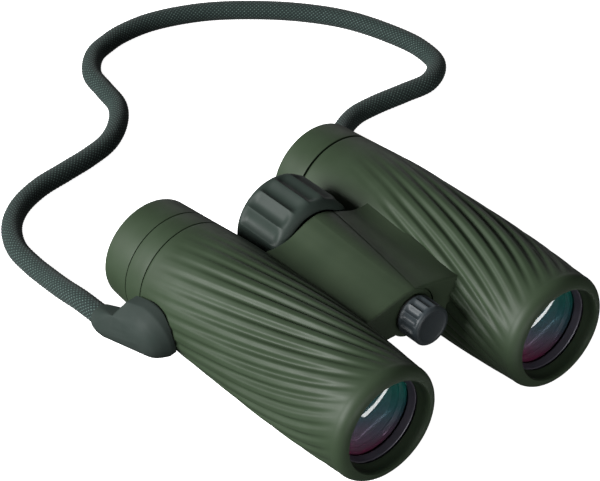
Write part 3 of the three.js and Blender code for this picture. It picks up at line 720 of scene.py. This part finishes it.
# ---- eyepieces ---------------------------------------------------------------------------------------------
def eyepiece(side):
    centre = barrel_centre(side)
    body = f"{side}_barrel"
    front = [(13, 92, 0.2), (15.6, 92, 0.3), (15.6, 96, 0.2), (17.6, 96, 0.2), (17.6, 108, 0.3)]
    guide = [(17.2, 108, 0.1), (17.2, 99, 0.1), (15.6, 99, 0.2), (15.6, 117.2, 0.5)]
    rear = [(14.0, 117.2, 0.3), (13.6, 116.9, 0.2), (11.8, 116.9, 0.3), (11.6, 116.2, 0.2), (13, 116.2, 0.1)]
    made = turned(f"{side}_ocular_housing", front + guide + rear, centre, MATERIALS["black_plastic"], 128)
    finish_piece(made, body, [f"{side}_eyepiece_housing"])
    eye_lens = lens_corners(12.7, 110.4, 114.4, 1.8, 1)
    made = turned(f"{side}_eye_glass", eye_lens, centre, MATERIALS["coated_glass"], 96)
    finish_piece(made, body, [f"{side}_eye_lens"])


for barrel in SIDES:
    eyepiece(barrel)


# ---- focus wheel and tripod cap ----------------------------------------------------------------------------
def flute_depth(angle):
    """A trough that drops fast from a sharp edge and rises slowly to the next; 1 where it is deepest."""
    t = ((FLUTE_EDGE - angle) / (360 / FLUTES)) % 1
    return 4.66 * t ** 0.9 * (1 - t) ** 1.4


def fluted(name, outer, inner, flutes, depth, material):
    """A piece turned about the hinge axis, with flutes in its outer outline."""
    profile = np.vstack([outer, inner])
    columns = FLUTES * FLUTE_COLUMNS
    grid = turned_points(profile, columns, HINGE)
    s = profile[:, 1][:, None]
    angle = np.linspace(0, 360, columns, endpoint=False)[None, :]
    start, end, soft = flutes
    fade = smooth(start, start + soft, s) * (1 - smooth(end - soft, end, s))
    fade[len(outer):] = 0
    radius = profile[:, 0][:, None] - depth * fade * flute_depth(angle)
    grid[..., 0] = radius * np.cos(np.radians(angle))
    grid[..., 2] = HINGE_HEIGHT + radius * np.sin(np.radians(angle))
    return mesh_object(name, to_row(grid.reshape(-1, 3)), ring_faces(len(grid), columns), material, 50)


def focus_wheel():
    across, along = WHEEL_NOSE
    outer = nose(WHEEL_RADIUS, WHEEL_FRONT, across, along, 12)
    outer += [(WHEEL_RADIUS, s) for s in np.linspace(WHEEL_FRONT + along + 0.4, 96.4, 40)]
    outer += [(12.2 + 4.5 * math.cos(t), 96.8 + 4.5 * math.sin(t)) for t in np.linspace(0.05, 1.45, 14)]
    inner = [(12, 101.3), (12, 100.1), (14.9, 100.1), (14.9, 81.5), (13.2, 80)]
    material = MATERIALS["wheel_rubber"]
    made = fluted("focus_wheel_rubber", outer, inner, WHEEL_FLUTES, WHEEL_FLUTE_DEPTH, material)
    finish_piece(made, "focus_wheel", ["focus_wheel_grip"])
    cap = [(0, 97.3), (11, 97.3, 0.2), (11, 100.4, 0.5), (9.6, 100.9, 0.6), (9.2, 100.6, 0.3), (0, 100.9)]
    made = turned("focus_wheel_badge", cap, HINGE, MATERIALS["dark_plastic"], 128)
    finish_piece(made, "focus_wheel", ["focus_wheel_cap"])
    core = [(3.3, 79.2, 0.2), (12.8, 79.2, 0.2), (13, 80.6, 0.2), (14.6, 82, 0.4), (14.6, 99.8, 0.3),
            (11.3, 99.8, 0.2), (11.3, 97, 0.1), (1.9, 97, 0.1), (1.9, 83, 0.1), (3.3, 83, 0.1)]
    made = turned("focus_wheel_hub", core, HINGE, MATERIALS["black_plastic"], 96)
    finish_piece(made, "focus_wheel", ["focus_wheel_core"])


def tripod_cap():
    """The cap's fluted grip, with its stem."""
    front, radius, rear = CAP_FRONT, CAP_RADIUS, CAP_REAR
    face = [(0, front + 0.35), (5.0, front + 0.35), (5.3, front + 0.2), (5.6, front)]
    rim = nose(radius, front, CAP_NOSE, CAP_NOSE, 8)
    wall = [(radius, s) for s in np.linspace(front + 1.5, rear - 0.4, 24)]
    outer = face + rim + wall + [(radius - 0.1, rear - 0.1), (radius - 0.4, rear)]
    stem = [(2.8, rear), (2.8, 39.2), (2.5, 39.5), (0, 39.5)]
    made = fluted("tripod_cap_grip", outer, stem, CAP_FLUTES, CAP_FLUTE_DEPTH, MATERIALS["knob_rubber"])
    finish_piece(made, "tripod_cap", ["tripod_cap"])


focus_wheel()
tripod_cap()


# ---- bridge covers -----------------------------------------------------------------------------------------
def along_spline(points, steps):
    """A smooth curve through the points, evenly cut between its ends."""
    points = np.array(points, float)
    reach = np.concatenate([[0], np.cumsum(np.linalg.norm(np.diff(points, axis=0), axis=1))])
    at = np.linspace(0, reach[-1], steps)
    return np.stack([spline(list(zip(reach, points[:, k])), at) for k in range(2)], 1)


def roof(pair, s, inset):
    """The roof's (x, z) points at s, lowered by inset."""
    points = between((np.array(pair[0]), np.array(pair[1])), s)
    return points - (0, inset)


def ridge_arc(radius, start, end, steps):
    """(x, z) points on an arc about the hinge axis, between two angles in degrees from +x."""
    angle = np.radians(np.linspace(start, end, steps))
    return np.stack([radius * np.cos(angle), HINGE_HEIGHT + radius * np.sin(angle)], 1)


def degrees_at(radius, height):
    """The angle at which an arc about the hinge axis is at this height, kept off its lowest point."""
    return math.degrees(math.asin(max(-0.95, min(0.999, (height - HINGE_HEIGHT) / radius))))


def right_outline(s, inset):
    """The right wing's roof, rising onto the ridge, and the ridge's round back."""
    radius = between(RIDGE, s) - inset
    bottom = WING_BOTTOM + inset
    slope = roof(RIGHT_ROOF, s, inset)
    crest = ridge_arc(radius, RIDGE_CREST + 1, RIDGE_CREST + 1, 1)
    top = along_spline(np.vstack([slope, crest]), 50)
    ridge = ridge_arc(radius, RIDGE_CREST, -180 - degrees_at(radius, bottom), 76)
    low = np.array([(slope[0][0], bottom)])
    return np.vstack([low, top, ridge])


def left_outline(s, inset):
    """The left wing's roof, and its underside close around the ridge."""
    radius = between(RIDGE, s) + RIDGE_PLAY
    bottom = WING_BOTTOM + inset
    slope = roof(LEFT_ROOF, s, inset)
    edge = slope[-1]
    away = np.hypot(edge[0], edge[1] - HINGE_HEIGHT)
    lip = np.array([edge[0], edge[1] - HINGE_HEIGHT]) / away * (radius + 0.05) + (0, HINGE_HEIGHT)
    top = along_spline(np.vstack([slope[:-1], lip]), 50)
    first = math.degrees(math.atan2(lip[1] - HINGE_HEIGHT, lip[0]))
    under = ridge_arc(radius, first - 0.5, degrees_at(radius, bottom), 30)
    return np.vstack([[(slope[0][0], bottom)], top, under])


def with_s(outline, s):
    """(x, z) points as (x, s, z) points."""
    return np.stack([outline[:, 0], np.full(len(outline), s), outline[:, 1]], 1)


def cover_shell(name, outline):
    """A solid with this outline from the bridge's front to its rear, inset where its end edges are round."""
    turn = np.linspace(0, math.pi / 2, 6)
    front = [(BRIDGE_FRONT + FRONT_EDGE * (1 - math.cos(t)), FRONT_EDGE * (1 - math.sin(t))) for t in turn]
    rear = [(BRIDGE_REAR - REAR_EDGE * (1 - math.cos(t)), REAR_EDGE * (1 - math.sin(t))) for t in turn[::-1]]
    middle = [(s, 0) for s in np.linspace(BRIDGE_FRONT, BRIDGE_REAR, 32)[2:-1]]
    sections = [with_s(outline(s, inset), s) for s, inset in front + middle + rear]
    return lofted(name, sections, MATERIALS["bridge_skin"], 55)


# the covers' walls stand at the bridge's two ends, and the hollow between them is cut by sections here
HOLLOW_AT = np.linspace(BRIDGE_FRONT + COVER_WALL, BRIDGE_REAR - COVER_WALL, 8)
PAST_COVERS = 30                                      # a cutter's reach beyond the covers, in millimetres


def right_bridge_cover():
    """The right wing with the ridge: hollow, open towards the left barrel, and bored for the hinge shaft."""
    cover = cover_shell("right_bridge_skin", right_outline)
    carve(cover, lofted("hollow", [with_s(right_outline(s, COVER_WALL), s) for s in HOLLOW_AT], None))
    slope = math.radians(RIDGE_OPEN)
    far = PAST_COVERS
    wedge = np.array([(0, 0), (far * math.cos(slope), far * math.sin(slope)), (far, -far), (0, -far)])
    carve(cover, lofted("opening", [with_s(wedge + HINGE, s) for s in (HOLLOW_AT[0], HOLLOW_AT[-1])], None))
    for radius, start, end in ((5, BRIDGE_FRONT - 1, 34), (3.3, 74, BRIDGE_REAR + 1)):
        bore = [(0, start), (radius, start), (radius, end), (0, end)]
        carve(cover, turned("bore", bore, HINGE, None, 64))
    smooth_by_angle(cover, 50)
    finish_piece(cover, "right_barrel", ["right_bridge_cover"])


def left_bridge_cover():
    """The left wing: hollow, and open towards its barrel and the hinge."""
    cover = cover_shell("left_bridge_skin", left_outline)
    low = WING_BOTTOM + COVER_WALL
    hollow = []
    for s in HOLLOW_AT:
        top = along_spline(roof(LEFT_ROOF, s, COVER_WALL), 20)
        outer = [(PAST_COVERS, low), (PAST_COVERS, top[0][1])]
        inner = [(0, top[-1][1]), (0, low)]
        hollow.append(with_s(np.vstack([outer, top, inner]), s))
    carve(cover, lofted("hollow", hollow, None))
    smooth_by_angle(cover, 50)
    finish_piece(cover, "left_barrel", ["left_bridge_cover"])


right_bridge_cover()
left_bridge_cover()


# ---- strap lugs and clips ----------------------------------------------------------------------------------
def outward(side):
    """The lug's direction."""
    return Vector((SIDES[side] * math.cos(LUG_DROP), 0, -math.sin(LUG_DROP)))


def stood_on_lug(grid, side):
    """Turned points stood on the lug's direction, so that their s is the distance from the barrel axis."""
    turn = np.array(Vector((0, 1, 0)).rotation_difference(outward(side)).to_matrix())
    return grid @ turn.T + np.array([SIDES[side] * HALF_SPACING, LUG_S, 0])


def stood_piece(name, corners, side, material, columns=128):
    """A solid of (radius, distance) corners, turned about the lug's direction."""
    profile = rounded(corners, 5)
    points = stood_on_lug(turned_points(profile, columns).reshape(-1, 3), side)
    return mesh_object(name, to_row(points), ring_faces(len(profile), columns), material)


def strap_lug(side):
    corners = [(0, 18.6), (LUG_RADIUS, 18.6, 0.2), (LUG_RADIUS, LUG_TOP, 0.2), (0, LUG_TOP)]
    made = stood_piece(f"{side}_lug_flange", corners, side, MATERIALS["dark_plastic"])
    finish_piece(made, f"{side}_barrel", [f"{side}_strap_lug"])


def remeshed(obj, voxel, passes):
    """Remade from voxels of this size in millimetres and softened, so that its joins run into each other."""
    remesh = obj.modifiers.new("remesh", "REMESH")
    remesh.mode = "VOXEL"
    remesh.voxel_size = voxel * MM
    soften = obj.modifiers.new("soften", "SMOOTH")
    soften.factor = 0.5
    soften.iterations = passes
    apply_modifiers(obj)


def ball_points(centre, radius, rings=16):
    """Points on a ball."""
    out = []
    for up in np.linspace(-1, 1, rings):
        angle = np.linspace(0, 2 * math.pi, 2 * rings, endpoint=False)
        around = math.sqrt(1 - up * up)
        out.append(np.stack([around * np.cos(angle), around * np.sin(angle), np.full_like(angle, up)], 1))
    return np.vstack(out) * radius + centre


def hull(name, points):
    """The tight convex skin around points in the optical frame."""
    bm = bmesh.new()
    for point in to_row(points):
        bm.verts.new(point)
    bmesh.ops.remove_doubles(bm, verts=bm.verts, dist=1e-6)
    made = bmesh.ops.convex_hull(bm, input=bm.verts)
    bmesh.ops.delete(bm, geom=list({*made["geom_interior"], *made["geom_unused"]}), context="VERTS")
    mesh = bpy.data.meshes.new(name)
    bm.to_mesh(mesh)
    bm.free()
    obj = bpy.data.objects.new(name, mesh)
    bpy.context.scene.collection.objects.link(obj)
    return obj


def on_lug(side, points):
    """(distance, raised, s) points: out from the barrel axis along the lug's direction, and up across it."""
    distance, raised, s = np.array(points, float).T
    out = outward(side)
    x = SIDES[side] * (HALF_SPACING + math.sin(LUG_DROP) * raised) + out.x * distance
    return np.stack([x, s, out.z * distance + math.cos(LUG_DROP) * raised], 1)


def clip_dome():
    """Points on the clip's dome over the lug, as (distance, raised, s)."""
    dome = [(0, SKIRT), (9.6, SKIRT, 0.2), (10, SKIRT + 0.8, 0.3), (10, 23.2, 0.4), (9.2, 25, 1.5),
            (8.4, 26.6, 1.5), (6.9, 28.4, 1.5), (4.4, 29.9, 1.5), (0, 30.6)]
    return [(distance, raised, LUG_S + along)
            for radius, distance in rounded(dome, 5) for along, raised in circle(radius)]


def clip_solid(side, sleeve):
    """Dome, tail and sleeve run into one soft form, with the notch between the dome and the sleeve."""
    skin = clip_dome()
    corner = [(SKIRT, 8.0, 99.2), (24.3, 8.2, 99.5), (29.7, 4.1, 101.8), (31, 0, 102), (SKIRT, -4, 99.5),
              (27, -4, 99.5)]
    heel = [(x, s, z) for s in SLEEVE_JOIN for x, z in circle(SLEEVE_RADIUS, sleeve)]
    belly = [(x, s, z) for x, s, z in heel if z < sleeve[1] - 0.4 * SLEEVE_RADIUS]
    clip = hull(f"{side}_clip_body", np.vstack([on_lug(side, skin + corner), belly]))
    lower_dome = [point for point in skin if point[1] < 3 and point[0] > 21]
    neck = [(29.7, 4.0, 102.6), (26, 2.4, 103.4)]
    end = ball_points((sleeve[0], 112.5, sleeve[1]), 4.9)
    carve(clip, hull("tail", np.vstack([on_lug(side, lower_dome + neck), heel, end])), "UNION")
    cuff = [(0, 109), (SLEEVE_RADIUS, 109), (SLEEVE_RADIUS, CUFF_END - 2.4, 1.6), (4.6, CUFF_END, 0.8),
            (0, CUFF_END)]
    carve(clip, turned("cuff", cuff, sleeve, None, 96), "UNION")
    remeshed(clip, 0.22, 5)
    return clip


def strap_clip(side):
    """The clip, with room cut for the lug, the barrel and the rope."""
    sleeve = (SIDES[side] * (HALF_SPACING + SLEEVE_X), SLEEVE_Z)
    clip = clip_solid(side, sleeve)
    room, top = LUG_RADIUS + GAP, LUG_TOP + GAP
    carve(clip, stood_piece("lug_room", [(0, 12), (room, 12), (room, top), (0, top)], side, None, 64))
    over_barrel = [(0, 70), (CLIP_ROOM, 70), (CLIP_ROOM, 125), (0, 125)]
    carve(clip, turned("barrel_room", over_barrel, barrel_centre(side), None, 256))
    hole, past = ROPE_RADIUS + 0.2, SLEEVE_END + 2
    carve(clip, turned("bore", [(0, 106), (hole, 106), (hole, past), (0, past)], sleeve, None, 64))
    smooth_by_angle(clip, 50)
    clip.data.materials.append(MATERIALS["clip_plastic"])
    finish_piece(clip, f"{side}_barrel", [f"{side}_strap_clip"])


for barrel in SIDES:
    strap_lug(barrel)
    strap_clip(barrel)


# ---- the CAD nodes that are shown as they are --------------------------------------------------------------
def dress_nodes():
    slots = {part["node"]: part["material_slot"] for part in frame["record"]["subparts"]}
    for name, obj in frame["nodes"].items():
        if obj.hide_render:
            continue
        obj.data.materials.clear()
        obj.data.materials.append(MATERIALS[slots[name]])


dress_nodes()


# ---- floor and light ---------------------------------------------------------------------------------------
FLOOR_HALF = 4.0
WORLD_STRENGTH = 0.10
LIGHTS_AIM = Vector((0, 0, 0.02))
# place and size in metres, and power in watts
STUDIO_LIGHTS = {
    "key": ((-1.20, 0.34, 0.62), (1.1, 0.6), 60),
    "fill": ((-0.35, -1.5, 0.12), (1.2, 0.4), 17),
    "rim": ((1.05, 1.05, 0.28), (1.0, 0.4), 1.6),
}
GLINT = ((0.031, -0.089, 0.002), (0.044, 0.005), 0.007)      # its x is counted from a barrel's axis
GLINT_TURN = math.radians(-17)


def pale_floor():
    """A pale floor that looks white and gives no light to the object."""
    mesh = bpy.data.meshes.new("floor")
    half = FLOOR_HALF
    corners = [(-half, -half, 0), (half, -half, 0), (half, half, 0), (-half, half, 0)]
    mesh.from_pydata(corners, [], [(0, 1, 2, 3)])
    floor = bpy.data.objects.new("floor", mesh)
    paper = Surface("floor_paper", 0.9, Emission_Color=(1, 1, 1, 1), Emission_Strength=1.0)
    paper.tones(300, (0.80, 0.80, 0.80), (0.82, 0.82, 0.82))
    mesh.materials.append(paper.material)
    bpy.context.scene.collection.objects.link(floor)
    floor.visible_diffuse = False
    floor.visible_glossy = False


def area_light(name, place, size, power):
    light = bpy.data.objects.new(name, bpy.data.lights.new(name, "AREA"))
    light.data.shape = "RECTANGLE"
    light.data.size, light.data.size_y = size
    light.data.energy = power
    light.location = place
    bpy.context.scene.collection.objects.link(light)
    return light


def studio():
    world = bpy.data.worlds.new("studio")
    bpy.context.scene.world = world
    world.use_nodes = True
    world.node_tree.nodes["Background"].inputs["Color"].default_value = (1, 1, 1, 1)
    world.node_tree.nodes["Background"].inputs["Strength"].default_value = WORLD_STRENGTH
    for name, (place, size, power) in STUDIO_LIGHTS.items():
        light = area_light(name, place, size, power)
        light.rotation_euler = (LIGHTS_AIM - Vector(place)).to_track_quat("-Z", "Y").to_euler()
    bpy.context.scene.view_settings.view_transform = "Standard"


def lens_glints():
    """A weak strip low in front of each lens, facing up, which shows only as a streak on the glass."""
    (offset, y, z), size, power = GLINT
    for side in SIDES:
        x = SIDES[side] * HALF_SPACING * MM + offset
        light = area_light(f"{side}_glint", (x, y, z), size, power)
        light.rotation_euler = (math.pi, 0, GLINT_TURN)
        light.visible_camera = False
        light.visible_diffuse = False


pale_floor()
studio()
lens_glints()

bpy.context.view_layer.update()
